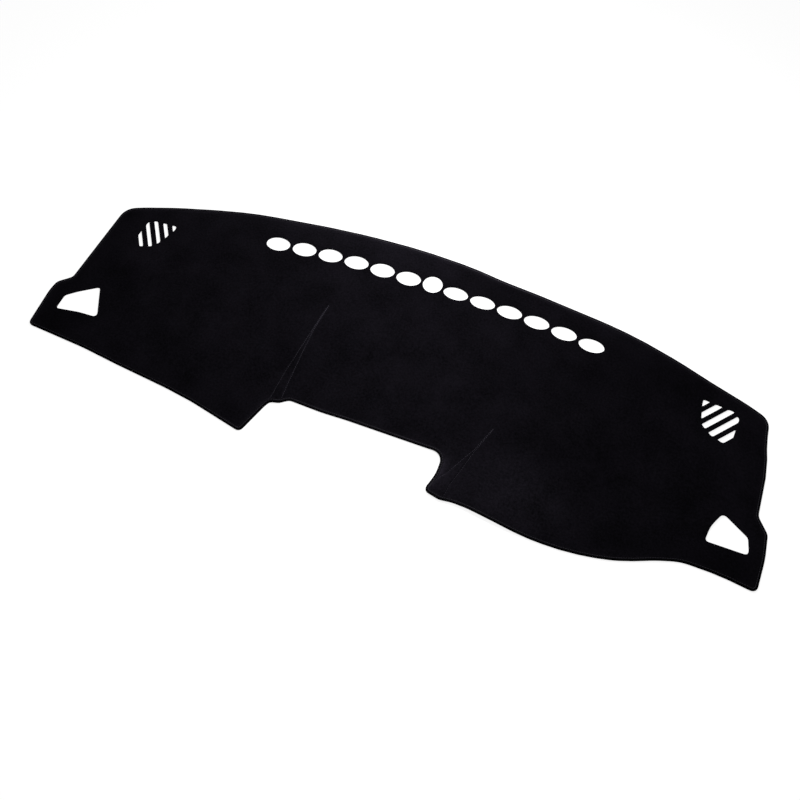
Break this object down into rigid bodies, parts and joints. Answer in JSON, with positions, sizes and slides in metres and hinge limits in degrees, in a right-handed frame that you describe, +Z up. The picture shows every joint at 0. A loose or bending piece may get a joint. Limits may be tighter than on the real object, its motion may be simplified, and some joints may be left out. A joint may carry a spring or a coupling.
{
  "type": "dashboard cover mat",
  "caption": "Shaped velour dashboard cover with vent and speaker cut-outs, sewn tucks and a bound edge, lying flat.",
  "frame": {"origin": "under the middle of the mat's box, on the surface it lies on", "axes": "+X along the windscreen towards the driver's end, +Y from the cabin to the windscreen, +Z up"},
  "size_m": [1.4608, 0.5116, 0.024],
  "materials": {
    "velour": "matt short-pile velour, near black",
    "binding_tape": "folded woven tape, near black"
  },
  "bodies": {
    "root": {"mat": "velour", "edge_binding": "binding_tape"}
  },
  "joints": []
}
